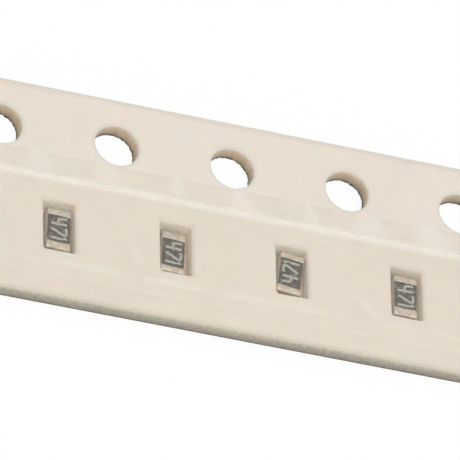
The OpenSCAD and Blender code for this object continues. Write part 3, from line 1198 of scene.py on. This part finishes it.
@dataclass
class CoverFilm:
    """The clear film: pressed down at both margins, ridged beside them, rippled where it has not bonded."""

    layout: Layout
    float_gap: float = 0.003
    cell: float = 0.08
    # The ridge inside the upper seal, and the lower one's line across the film
    ridge_lift: float = 0.018
    ridge_w: float = 0.24
    ridge_in: float = 0.20
    lower_line: float = -2.68
    lower_least: float = 0.16
    lower_fade: float = 0.5
    # Stretches of the lower ridge that stand up, each from and to a place along the film, and how high
    lower_ridge: tuple[tuple[float, float, float], ...] = (
        (-6.4, -3.9, 0.42), (-3.5, -0.9, 0.42), (-1.2, 2.1, 0.36), (1.6, 3.2, 0.46), (5.0, 6.4, 0.34),
    )
    # Where unbonded ripples start along the film's upper edge, and how wide each is
    ripples: tuple[tuple[float, float], ...] = (
        (-6.80, 0.48), (-4.42, 0.50), (-2.01, 0.26), (0.18, 0.35), (2.55, 0.20), (4.62, 0.60),
    )
    # How high the ripples are and how much haze and painted sheen they carry, and how they widen, flatten and
    # slant away from the edge
    ripple_lift: float = 0.0004
    ripple_haze_and_sheen: float = 0.42
    ripple_flare: float = 1.2
    ripple_gain: float = 1.6
    slant: float = 0.22
    # Small blisters, each by its place along and across the film and its reach
    blisters: tuple[tuple[float, float, float], ...] = (
        (-3.4, -1.9, 0.46), (4.6, -2.2, 0.48), (-11.3, -1.9, 0.4), (12.7, -2.1, 0.4),
    )
    # Their share of the ripples' haze and painted sheen, how they lean, and their narrowing along and across
    # the film
    blister_share: float = 0.9
    blister_lean: float = 0.5
    blister_shape: tuple[float, float] = (1.3, 0.8)

    def build(self) -> None:
        """Makes and dresses the cover film."""
        hand_over(self.film(), ClearFilm(), ("cover_film",), smooth=60)

    def film(self) -> Piece:
        """The film, shaped on its upper face and then given its thickness."""
        low, high = cad_box("cover_film")
        size, centre = high - low, (low + high) / 2
        deselect_all()
        bpy.ops.mesh.primitive_grid_add(
            x_subdivisions=round(size.x / self.cell), y_subdivisions=round(size.y / self.cell), size=1,
            location=(centre.x, centre.y, high.z),
        )
        film = just_made("cover_sheet", (size.x, size.y, 1))
        with editing(film):
            for start in (low.y, high.y - self.layout.seal_w):
                stop = start + self.layout.seal_w
                pick(film, Element.CORNERS, lambda v: start - self.cell / 4 < v.co.y < stop + self.cell / 4)
                shift(0, 0, -self.layout.seal_depth)
        self.raise_relief(film, low, high)
        thickness = high.z - (low.z + self.layout.seal_depth) - self.float_gap
        modify(film, "SOLIDIFY", thickness=thickness, offset=-1.0, use_even_offset=False)
        return film

    def raise_relief(self, film: Piece, low: Vector, high: Vector) -> None:
        """Raises the ridges and ripples, and keeps how far each place is lifted off the card.

        Args:
            film: The film's upper face.
            low: The film's lowest corner.
            high: Its highest corner.
        """
        mesh = film.data
        lift = mesh.attributes.new("lift", "FLOAT", "POINT")
        ripples = self.all_ripples(low.x, high.x)
        inner = high.y - self.layout.seal_w
        for vertex, kept in zip(mesh.vertices, lift.data):
            x, y = vertex.co.xy
            ridge = self.ridge(x, y, inner)
            ripple = self.blister(x, y)
            if y > inner - self.ridge_in:
                ripple = max(ripple, self.ripple(x, high.y - y, ripples))
            kept.value = max(ridge, self.ripple_haze_and_sheen * ripple)
            vertex.co.z += max(ridge * self.ridge_lift, ripple * self.ripple_lift)

    def ridge(self, x: float, y: float, inner: float) -> float:
        """How far the two ridges lift a place, as a share from 0 to 1.

        Args:
            x: The place along the film.
            y: The place across it.
            inner: Where the upper seal ends.

        Returns:
            The share.
        """
        wander = 0.02 * math.sin(x * 2.1) + 0.012 * math.sin(x * 5.3 + 1.0)
        upper = hump(y, inner - self.ridge_in, self.ridge_w + wander)
        rises = [
            h * min(1.0, (x - start) / self.lower_fade, (stop - x) / self.lower_fade)
            for start, stop, h in self.lower_ridge
        ]
        lower = max([*rises, self.lower_least]) * hump(y, self.lower_line + wander * 0.5, self.ridge_w)
        return max(upper, lower)

    def blister(self, x: float, y: float) -> float:
        """How far the blisters, which are leaning ovals, lift a place.

        Args:
            x: The place along the film.
            y: The place across it.

        Returns:
            The share, from 0 to 1.
        """
        along, across = self.blister_shape
        found = 0.0
        for middle_x, middle_y, reach in self.blisters:
            lean = (x - middle_x) + self.blister_lean * (y - middle_y)
            away = math.hypot(lean * along, across * (y - middle_y))
            found = max(found, self.blister_share * hump(away, 0.0, reach))
        return found

    def ripple(self, x: float, down: float, ripples: list[tuple[float, float]]) -> float:
        """How far the ripples, which slant and widen away from the film's edge, lift a place.

        Args:
            x: The place along the film.
            down: How far it is from the film's upper edge.
            ripples: Each ripple's place and width.

        Returns:
            The share, from 0 to 1.
        """
        flare = 1.0 + self.ripple_flare * (down / self.layout.seal_w) ** 2
        humps = (hump(x, start + down * self.slant, width * flare) for start, width in ripples)
        return min(1.0, self.ripple_gain * max(humps))

    def all_ripples(self, start: float, stop: float) -> list[tuple[float, float]]:
        """The ripples in the middle of the film, and more of their kind out to its ends.

        Args:
            start: The film's start along the tape.
            stop: Its end.

        Returns:
            Each ripple's place and width.
        """
        dice = random.Random(8)
        found = list(self.ripples)
        for place, way, end in ((self.ripples[-1][0], 1, stop), (self.ripples[0][0], -1, start)):
            while place * way < end * way:
                place += way * dice.uniform(1.8, 3.4)
                found.append((place, dice.uniform(0.24, 0.60)))
        return found


@dataclass
class BaseFilm:
    """The tissue that closes the pockets from below."""

    layout: Layout
    slack: float = 0.004
    slack_reach: float = 0.5
    edge_break: float = 0.008

    def build(self) -> None:
        """Makes and dresses the tissue."""
        hand_over(self.film(), TissueFilm(), ("bottom_film",), smooth=30)

    def film(self) -> Piece:
        """The tissue, with its long edges eased and its underside drawn up a little at the pockets."""
        low, high = cad_box("bottom_film")
        film = block("base_sheet", low, high)
        with editing(film):
            pick(film, Element.EDGES, lambda e: span_of(e).x > 1)
            ease(self.edge_break, 2)
            for pocket in self.layout.pockets():
                score(film, [pocket.x - self.slack_reach, pocket.x, pocket.x + self.slack_reach], ALONG)
                pick(film, Element.CORNERS, lambda v: abs(v.co.x - pocket.x) < 0.01 and v.co.z < low.z + NEAR)
                shift(0, 0, self.slack)
        return film


# ---------------------------------------------------------------- the chips


@dataclass(frozen=True)
class Uneven:
    """How far a chip's prints stray, in millimetres: longer terminals, glaze and marking moved along +Y."""

    left: float = 0.0
    right: float = 0.0
    glaze: float = 0.0
    marking: float = 0.0


@dataclass
class ChipResistor:
    """A thick-film chip resistor, modelled once round its underside's middle and copied into each pocket.

    Its own Y runs from its right terminal to its left one, as its marking is read, and its own X is the
    marking's up.
    """

    length: float = 1.55
    width: float = 0.8
    thickness: float = 0.45
    side_step: float = 0.015
    # The snapped edge of the ceramic: how far up it is, how high, and how much narrower the body is above it
    snap_at: float = 0.62
    snap_h: float = 0.012
    snap_in: float = 0.016
    edge_break: float = 0.005
    # The plated terminals
    cap_l: float = 0.262
    plate: float = 0.025
    cap_r: float = 0.08
    plate_break: float = 0.008
    ragged: float = 0.010
    # The overcoat, with the shares of its thickness in its edge, its steep shoulder and its gentle one
    over_t: float = 0.022
    over_steps: tuple[float, float, float] = (0.3, 0.45, 0.25)
    over_margin: float = 0.006
    over_rag: float = 0.010
    tuck: float = 0.03
    steep_shoulder: float = 0.02
    gentle_shoulder: float = 0.04
    # The marking
    stroke_r: float = 0.045
    digit_h: float = 0.54
    text_w: float = 0.80
    ink_t: float = 0.012
    uneven: dict[str, Uneven] = field(default_factory=lambda: {
        "chip_04": Uneven(right=0.015, marking=0.040),
        "chip_05": Uneven(left=0.030, right=-0.045, glaze=-0.040),
        "chip_06": Uneven(left=-0.025, right=-0.015),
        "chip_07": Uneven(right=0.045, marking=0.045),
    })

    def build(self) -> None:
        """Makes one of each piece, copies them into every pocket, and makes the odd terminals apart."""
        masters: dict[str, tuple[Piece, Finish, str]] = {
            "ceramic": (self.ceramic(), Alumina(), "substrate"),
            "glaze": (self.overcoat(), Glaze(), "overcoat"),
            "left_cap": (self.left_cap(), MatteTin(), "left_terminal"),
            "right_cap": (self.right_cap(), MatteTin(), "right_terminal"),
            "marking": (self.marking(), MarkingInk(), ""),
        }
        for chip in sorted({name[:7] for name in frame["nodes"] if name.startswith("chip_")}):
            place, turn = self.seat(chip)
            odd = self.uneven.get(chip, Uneven())
            for part, (master, finish, node) in masters.items():
                slip = {"glaze": odd.glaze, "marking": odd.marking}.get(part, 0.0)
                longer = {"left_cap": odd.left, "right_cap": odd.right}.get(part, 0.0)
                if longer:
                    other = replace(self, cap_l=self.cap_l + longer)
                    master = other.left_cap() if part == "left_cap" else other.right_cap()
                copy = twin(master, f"{chip}_{part}", place + slip * ACROSS, turn)
                hand_over(copy, finish, (f"{chip}_{node}",) if node else (), smooth=40)
                if longer:
                    bpy.data.objects.remove(master)
            film = frame["nodes"][f"{chip}_resistive_film"].data.materials
            film.clear()
            film.append(ResistorInk().material())
        for master, _, _ in masters.values():
            bpy.data.objects.remove(master)

    def seat(self, chip: str) -> tuple[Vector, float]:
        """Where a chip lies.

        Args:
            chip: The chip's name in the frame.

        Returns:
            The middle of its underside in millimetres, and its turn in radians.
        """
        left_low, left_high = cad_box(f"{chip}_left_terminal")
        right_low, right_high = cad_box(f"{chip}_right_terminal")
        left, right = (left_low + left_high) / 2, (right_low + right_high) / 2
        middle, along = (left + right) / 2, left - right
        return Vector((middle.x, middle.y, left_low.z)), math.atan2(along.y, along.x) - math.pi / 2

    def ceramic(self) -> Piece:
        """The ceramic body, snapped along a scored line that leaves its upper part a little narrower."""
        half = Vector((self.width / 2 - self.side_step, self.length / 2 - self.plate, 0))
        low = -half + self.plate * UP
        high = half + (self.thickness - self.plate) * UP
        body = block("ceramic_master", low, high)
        snap = low.z + (high.z - low.z) * self.snap_at
        with editing(body):
            score(body, [snap, snap + self.snap_h], UP)
            pick(body, Element.CORNERS, lambda v: v.co.z > snap + self.snap_h - NEAR)
            bpy.ops.transform.resize(value=(1 - self.snap_in / self.width, 1, 1))
            pick(body, Element.EDGES, lambda e: span_of(e).y > 0.1
                 or all(abs(v.co.z - high.z) < NEAR for v in e.verts))
            ease(self.edge_break, 2)
        return body

    def overcoat(self) -> Piece:
        """The printed overcoat: a thin pad with soft shoulders and an uneven outline."""
        half_w = self.width / 2 - self.side_step - self.over_margin
        half_l = self.length / 2 - self.cap_l + self.tuck
        floor = self.thickness - self.plate
        edge, steep, gentle = (self.over_t * share for share in self.over_steps)
        pad = block("glaze_master", Vector((-half_w, -half_l, floor)), Vector((half_w, half_l, floor + edge)))
        with editing(pad):
            score(pad, [half_l * (k / 8 - 1) for k in range(1, 16)], ACROSS)
            score(pad, [half_w * (k / 5 - 1) for k in range(1, 10)], ALONG)
            pick(pad, Element.CORNERS, lambda v: abs(abs(v.co.x) - half_w) < NEAR)
            bpy.ops.transform.vertex_random(offset=self.over_rag, uniform=1.0, seed=5)
            pick(pad, Element.FACES, lambda f: f.normal.z > 0.8)
            bpy.ops.mesh.inset(thickness=self.steep_shoulder, depth=steep)
            bpy.ops.mesh.inset(thickness=self.gentle_shoulder, depth=gentle)
        return pad

    def left_cap(self) -> Piece:
        """The plated terminal at the chip's own +Y end, wrapped over its top, end and underside."""
        low = Vector((-self.width / 2, self.length / 2 - self.cap_l, 0))
        high = Vector((self.width / 2, self.length / 2, self.thickness))
        columns = [low.x + (high.x - low.x) * k / 10 for k in range(11)]
        dice = random.Random(2)
        cap = block("left_cap_master", low, high)
        with editing(cap):
            pick(cap, Element.EDGES, lambda e: all(v.co.y > high.y - NEAR for v in e.verts)
                 and span_of(e).z < NEAR)
            ease(self.cap_r, 5)
            pick(cap, Element.FACES, lambda f: f.normal.y < -0.9 or abs(f.normal.x) > 0.9)
            bpy.ops.mesh.delete(type="FACE")
            score(cap, columns[1:-1], ALONG)
            score(cap, [low.y + (self.cap_l - self.cap_r) * k / 4 for k in (1, 2, 3)], ACROSS)
            for upper in (False, True):
                for x in columns:
                    pick(cap, Element.CORNERS, lambda v: v.co.y < low.y + self.ragged
                         and abs(v.co.x - x) < NEAR and (v.co.z > high.z / 2) == upper)
                    shift(0, dice.uniform(-self.ragged, self.ragged) * 0.9, 0)
        modify(cap, "SOLIDIFY", thickness=self.plate, offset=-1.0)
        sharp = math.radians(50)
        modify(cap, "BEVEL", width=self.plate_break, segments=2, limit_method="ANGLE", angle_limit=sharp)
        return cap

    def right_cap(self) -> Piece:
        """The terminal at the chip's other end, the same one turned half round."""
        source = self.left_cap()
        cap = twin(source, "right_cap_master", Vector((0, 0, 0)), math.pi)
        bpy.data.objects.remove(source)
        return cap

    def marking(self) -> Piece:
        """The resistance code 471 for 470 ohms, in round strokes that are then flattened to printed ink."""
        four = [[(0.02, 0.54), (0.03, 0.40), (0.05, 0.29), (0.09, 0.25), (0.18, 0.24), (0.30, 0.25)],
                [(0.24, 0.54), (0.245, 0.27), (0.25, 0.0)]]
        seven = [[(0.38, 0.50), (0.45, 0.53), (0.55, 0.54), (0.635, 0.52), (0.645, 0.45), (0.61, 0.35),
                  (0.54, 0.22), (0.49, 0.11), (0.46, 0.02)]]
        one = [[(0.73, 0.46), (0.77, 0.50), (0.80, 0.54), (0.80, 0.27), (0.80, 0.0)]]
        strokes = [
            [Vector((v - self.digit_h / 2, self.text_w / 2 - u, 0)) for u, v in line]
            for line in four + seven + one
        ]
        ink = drawn_line(strokes, "marking_master", self.stroke_r, 3)
        ink.scale = (1, 1, self.ink_t / (2 * self.stroke_r))
        ink.location.z = self.thickness - self.plate + self.over_t
        return apply_place(ink)


# ---------------------------------------------------------------- the studio


@dataclass
class Studio:
    """A pale floor, a soft lamp high above, an even surround and the camera."""

    surround: float = 0.52
    lamp_power: float = 2.80
    lamp_size: float = 0.9
    lamp_place: tuple[float, float, float] = (0.03, -0.11, 0.59)
    floor_size: float = 2.4
    floor_tone: Colour = (0.45, 0.45, 0.45)
    floor_seen: Colour = (0.92, 0.92, 0.92)
    floor_glow: float = 0.93
    # The camera: its target, distance and lens in millimetres, and its angles in degrees
    target: tuple[float, float, float] = (-0.166, -0.202, 0.65)
    distance: float = 294.42
    azimuth: float = -29.915
    elevation: float = 51.130
    roll: float = 35.201
    lens: float = 714.7

    def build(self) -> None:
        """Sets up the floor, the light and the camera."""
        self.floor()
        self.world()
        self.lamp()
        self.camera()
        bpy.context.scene.view_settings.view_transform = "Standard"

    @staticmethod
    def seen(sheet: NodeSheet) -> Socket:
        """1 for rays that show something: the camera's own, and through gloss and glass."""
        path = sheet.add("LightPath")
        shown = sheet.sum("MAXIMUM", path.outputs["Is Camera Ray"], path.outputs["Is Glossy Ray"])
        return sheet.sum("MAXIMUM", shown, path.outputs["Is Transmission Ray"])

    def floor(self) -> None:
        """A plain floor that reads white and keeps the strip's shadow. From below it isn't there."""
        deselect_all()
        bpy.ops.mesh.primitive_plane_add(size=self.floor_size, location=(0, 0, 0))
        floor = bpy.context.active_object
        floor.name = "studio_floor"
        material = bpy.data.materials.new("studio_floor_paint")
        material.use_nodes = True
        material.node_tree.nodes.clear()
        sheet = NodeSheet(material.node_tree)
        seen = self.seen(sheet)
        tone = sheet.mix(seen, self.floor_tone, self.floor_seen)
        paint = sheet.add("BsdfDiffuse", {"Color": tone}).outputs[0]
        glow = sheet.add("Emission", {"Color": (1, 1, 1), "Strength": 1.0}).outputs[0]
        share = sheet.sum("MULTIPLY", seen, self.floor_glow)
        lit = sheet.add("MixShader", {0: share, 1: paint, 2: glow}).outputs[0]
        clear = sheet.add("BsdfTransparent").outputs[0]
        back = sheet.add("NewGeometry").outputs["Backfacing"]
        both = sheet.add("MixShader", {0: back, 1: lit, 2: clear}).outputs[0]
        sheet.add("OutputMaterial", {"Surface": both})
        floor.data.materials.append(material)

    def world(self) -> None:
        """An even surround: white where it is seen, dimmer where it lights."""
        world = bpy.data.worlds.new("studio_world")
        bpy.context.scene.world = world
        world.use_nodes = True
        world.node_tree.nodes.clear()
        sheet = NodeSheet(world.node_tree)
        inputs = {0: self.seen(sheet), 2: self.surround, 3: 1.0}
        strength = sheet.add("Mix", inputs, data_type="FLOAT").outputs[0]
        light = sheet.add("Background", {"Color": (1, 1, 1), "Strength": strength}).outputs[0]
        sheet.add("OutputWorld", {"Surface": light})

    def lamp(self) -> None:
        """A large soft lamp overhead."""
        data = bpy.data.lights.new("softbox", "AREA")
        data.shape = "DISK"
        data.size = self.lamp_size
        data.energy = self.lamp_power
        lamp = bpy.data.objects.new("softbox", data)
        lamp.location = self.lamp_place
        lamp.rotation_euler = Vector(self.lamp_place).to_track_quat("Z", "Y").to_euler()
        lamp.visible_camera = False
        bpy.context.scene.collection.objects.link(lamp)

    def camera(self) -> None:
        """The camera, by its angles round the point that it looks at."""
        turn, rise, roll = (math.radians(a) for a in (self.azimuth, self.elevation, self.roll))
        back = Vector((math.sin(turn) * math.cos(rise), -math.cos(turn) * math.cos(rise), math.sin(rise)))
        level = Vector((math.cos(turn), math.sin(turn), 0))
        right = math.cos(roll) * level + math.sin(roll) * back.cross(level)
        data = bpy.data.cameras.new("camera")
        data.sensor_width = 36
        data.lens = self.lens
        data.clip_start, data.clip_end = 0.01, 10
        camera = bpy.data.objects.new("camera", data)
        place = (Vector(self.target) + back * self.distance) * MM
        facing = Matrix((right, back.cross(right), back)).transposed().to_4x4()
        camera.matrix_world = Matrix.Translation(place) @ facing
        bpy.context.scene.collection.objects.link(camera)
        bpy.context.scene.camera = camera


def main() -> None:
    """Builds the strip, the chips and the studio."""
    logging.basicConfig(level=logging.INFO, format="%(name)s: %(message)s")
    layout = Layout.from_frame()
    for assembly in (CarrierTape(layout), BaseFilm(layout), ChipResistor(), CoverFilm(layout)):
        LOG.info("building %s", type(assembly).__name__)
        assembly.build()
    Studio().build()


if __name__ == "__main__":
    main()
